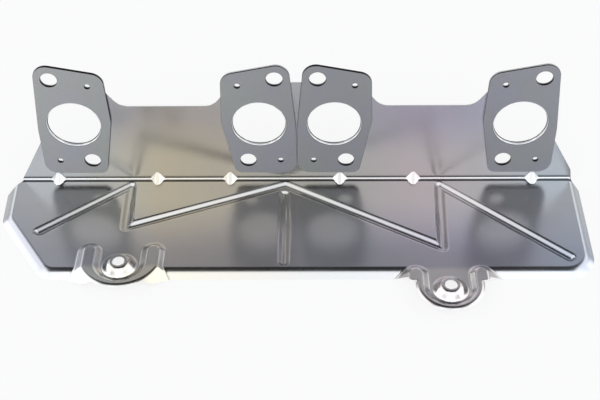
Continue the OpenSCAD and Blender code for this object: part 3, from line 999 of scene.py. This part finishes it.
studio = {
    "floorHalf": 4,          # metres
    "floorDiffuse": 0.1,
    "floorGlow": 0.84,
    "floorFar": 2.0,         # glow beyond both ends of the picture
    "farFrom": (0.26, 0.8),  # where the glow rises, from the middle in metres
    # angle over the part and colour
    "arch": [(0, (0.2, 0.2, 0.2)), (14, (0.2, 0.2, 0.2)), (24, (0.5, 0.5, 0.5)), (49, (0.48, 0.48, 0.5)),
             (55, (0.02, 0.02, 0.02)), (102, (0.02, 0.02, 0.02)), (108, (1.28, 1.32, 1.4)),
             (128, (1.28, 1.32, 1.4)), (135, (1.4, 1.4, 1.4)), (146, (1.4, 1.4, 1.4)),
             (152, (1.6, 1.6, 1.65)), (174, (1.6, 1.6, 1.65)), (180, (1.2, 1.2, 1.2))],
    # from left to right, for directions up to tintHalf aside
    "tintHalf": 0.5,
    "tint": [(0.0, (1, 1, 1)), (0.12, (1, 1, 1)), (0.2, (1.15, 1.15, 1.15)), (0.27, (1.4, 1.42, 1.42)),
             (0.36, (1, 0.98, 0.93)), (0.5, (1, 1, 1)), (0.64, (0.97, 0.98, 1.0)), (0.73, (1.36, 1.4, 1.44)),
             (0.8, (1.15, 1.15, 1.17)), (0.88, (1, 1, 1)), (1.0, (1, 1, 1))],
    "sideFrom": (0.44, 0.58),
    "sideLow": (2.3, 2.3, 2.3),
    "sideHigh": (1.45, 1.46, 1.47),
    "highFrom": (0.25, 0.5),     # height at which the low light gives way to the high one
    "stripFrom": (0.36, 0.5),    # low dark strips on both sides
    "stripTo": (0.82, 0.92),
    "strip": 0.75,
    "strength": 1.333,
}


def makeFloor():
    low, half = cadBox[0].z, studio["floorHalf"]
    mesh = bpy.data.meshes.new("floor")
    corners = [(-half, -half, low), (half, -half, low), (half, half, low), (-half, half, low)]
    mesh.from_pydata(corners, [], [(0, 1, 2, 3)])
    floor = bpy.data.objects.new("floor", mesh)
    bpy.context.scene.collection.objects.link(floor)
    material, nodes, links, shader = newMaterial("floor_paper", 0.9, 0.0)
    shader.inputs["Base Color"].default_value = (*[studio["floorDiffuse"]] * 3, 1)
    shader.inputs["Specular IOR Level"].default_value = 0.0
    shader.inputs["Emission Color"].default_value = (1, 1, 1, 1)
    x, _, _ = objectPlace(nodes, links)
    glow = nodes.new("ShaderNodeMapRange")
    values = (*studio["farFrom"], studio["floorGlow"], studio["floorFar"])
    for socket, value in zip(("From Min", "From Max", "To Min", "To Max"), values):
        glow.inputs[socket].default_value = value
    links.new(mathNode(nodes, links, "ABSOLUTE", x), glow.inputs["Value"])
    links.new(glow.outputs[0], shader.inputs["Emission Strength"])
    mesh.materials.append(material)


def makeWorld():
    # a room of soft panels, by the angle from the horizon behind the part over the top to the
    # horizon behind the camera
    world = bpy.data.worlds.new("studio")
    world.use_nodes = True
    bpy.context.scene.world = world
    nodes, links = world.node_tree.nodes, world.node_tree.links
    coords = nodes.new("ShaderNodeTexCoord")
    parts = nodes.new("ShaderNodeSeparateXYZ")
    links.new(coords.outputs["Generated"], parts.inputs[0])
    x, y, z = (parts.outputs[axis] for axis in "XYZ")

    def result(operation, *values):
        return mathNode(nodes, links, operation, *values)

    def stepNode(value, low, high):
        node = nodes.new("ShaderNodeMapRange")
        node.interpolation_type = "SMOOTHSTEP"
        node.inputs["From Min"].default_value = low
        node.inputs["From Max"].default_value = high
        links.new(value, node.inputs["Value"])
        return node.outputs[0]

    turn = result("DIVIDE", result("ARCTAN2", z, y), math.pi)
    arch = colourRamp(nodes, links, turn, [(angle / 180, level) for angle, level in studio["arch"]])
    across = nodes.new("ShaderNodeMapRange")
    across.inputs["From Min"].default_value = -studio["tintHalf"]
    across.inputs["From Max"].default_value = studio["tintHalf"]
    links.new(x, across.inputs["Value"])
    tint = colourRamp(nodes, links, across.outputs[0], studio["tint"])
    tinted = mixedColour(nodes, links, 1.0, arch, tint, "MULTIPLY")
    width = result("ABSOLUTE", x)
    high = stepNode(z, *studio["highFrom"])
    side = mixedColour(nodes, links, high, studio["sideLow"], studio["sideHigh"])
    room = mixedColour(nodes, links, stepNode(width, *studio["sideFrom"]), tinted, side)
    strip = result("SUBTRACT", stepNode(width, *studio["stripFrom"]), stepNode(width, *studio["stripTo"]))
    low = result("SUBTRACT", studio["strip"], result("MULTIPLY", high, studio["strip"]))
    strip = result("MULTIPLY", strip, low)
    links.new(mixedColour(nodes, links, strip, room, (0, 0, 0)), nodes["Background"].inputs["Color"])
    nodes["Background"].inputs["Strength"].default_value = studio["strength"]


makeCamera()
makeFloor()
makeWorld()
bpy.context.scene.view_settings.view_transform = "Standard"
print("camera, floor and light are in place")

cutSteel = brightSteel("sheared_edge", 0.32, 700, (1, 1, 1), [(0.7, 0.7, 0.7), (0.86, 0.86, 0.87)])
sheet = makeSheet([sheetSteel(), cutSteel])
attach(sheet, "root")
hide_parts("folded_sheet")

face = plateFace()
shadedEdge = plateEdge("painted_shade_edge", plateLook["shadedCutBands"])
litEdge = plateEdge("painted_light_edge", plateLook["litCutBands"])
for index in range(4):
    # painted light and shade: plates turned over get the lit edge, the others the shaded one, and every hole
    # wall is shaded
    rimEdge = shadedEdge if portSide[index] > 0 else litEdge
    plate = makePlate(index, [face, rimEdge, shadedEdge])
    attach(plate, "root")
    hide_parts(f"plate_{index + 1}")
print("plates are in place")

ringSteel = brightSteel("ring_steel", 0.28, 500, (1, 6, 1), [(0.72, 0.73, 0.74), (0.85, 0.86, 0.87)])
rings = makeRings(ringSteel)
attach(rings, "root")
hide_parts("ring_1", "ring_2", "ring_3", "ring_4")
print("rings are in place")
